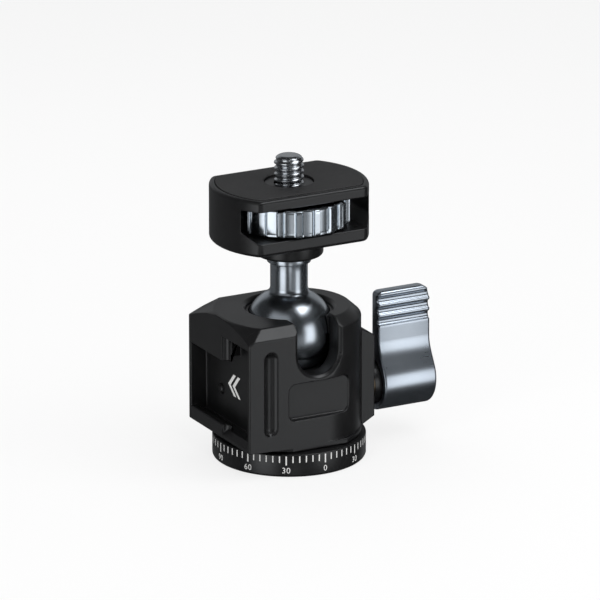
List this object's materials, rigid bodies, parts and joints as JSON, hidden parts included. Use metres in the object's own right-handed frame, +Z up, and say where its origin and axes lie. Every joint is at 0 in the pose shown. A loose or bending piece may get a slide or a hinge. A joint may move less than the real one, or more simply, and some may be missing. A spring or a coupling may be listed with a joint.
{
  "type": "tripod ball head",
  "caption": "Small ball head: panning foot, notched housing with side slot, ball with stem, clamp lever, camera platform with thumb wheel and screw stud.",
  "frame": {"origin": "middle of the underside of the panning base", "axes": "+Z up, +X out along the clamp lever's shaft, -Y towards the drop notch"},
  "size_m": [0.0494, 0.0328, 0.0663],
  "materials": {
    "black_anodised": "satin black anodised",
    "steel_blue": "polished blue-grey steel",
    "bright_steel": "bright turned steel",
    "spring_steel": "plain",
    "rubber_pad": "matt",
    "acetal": "moulded acetal, black",
    "bronze": "turned bronze"
  },
  "bodies": {
    "base": {"pan_base": "black_anodised", "pan_spindle": "bright_steel", "pan_nut": "bright_steel"},
    "housing": {"housing": "black_anodised", "bottom_plug": "black_anodised", "friction_washer": "acetal", "socket_liner": "acetal", "shaft_bush": "bronze", "plunger_spring": "spring_steel"},
    "cup": {"seat_cup": "acetal"},
    "lever": {"cam_shaft": "bright_steel", "lever_washer": "black_anodised", "clamp_lever": "steel_blue", "lever_screw": "bright_steel"},
    "plunger": {"slot_plunger": "bright_steel"},
    "ball": {"ball_stem": "steel_blue"},
    "platform": {"stem_collar": "black_anodised", "collar_screws": "bright_steel", "platform": "black_anodised", "top_pad": "rubber_pad"},
    "wheel": {"thumb_wheel": "steel_blue", "wheel_grub": "bright_steel", "wheel_washer": "acetal", "camera_stud": "bright_steel"}
  },
  "joints": [
    {"name": "pan", "type": "hinge", "parent": "base", "child": "housing", "pos_m": [0, 0, 0.005], "axis": [0, 0, 1], "continuous": true},
    {"name": "ball_tilt", "type": "hinge", "parent": "housing", "child": "ball", "pos_m": [0, 0, 0.0276], "axis": [1, 0, 0], "range_deg": [-35, 90]},
    {"name": "ball_spin", "type": "hinge", "parent": "ball", "child": "platform", "pos_m": [0, 0, 0.0446], "axis": [0, 0, 1], "continuous": true},
    {"name": "wheel_turn", "type": "hinge", "parent": "platform", "child": "wheel", "pos_m": [0, 0, 0.0547], "axis": [0, 0, 1], "continuous": true},
    {"name": "lever_turn", "type": "hinge", "parent": "housing", "child": "lever", "pos_m": [0.02, 0, 0.0131], "axis": [1, 0, 0], "range_deg": [0, 100]},
    {"name": "cup_drop", "type": "slide", "parent": "housing", "child": "cup", "axis": [0, 0, 1], "range_m": [-0.0005, 0]},
    {"name": "plunger_press", "type": "slide", "parent": "housing", "child": "plunger", "axis": [1, 0, 0], "range_m": [0, 0.0005], "stiffness_N_per_m": 400, "springref_m": -0.0005, "deforming": ["plunger_spring"]}
  ],
  "couplings": [
    {"joint": "cup_drop", "follows": "lever_turn", "m_per_rad": -0.00028}
  ]
}
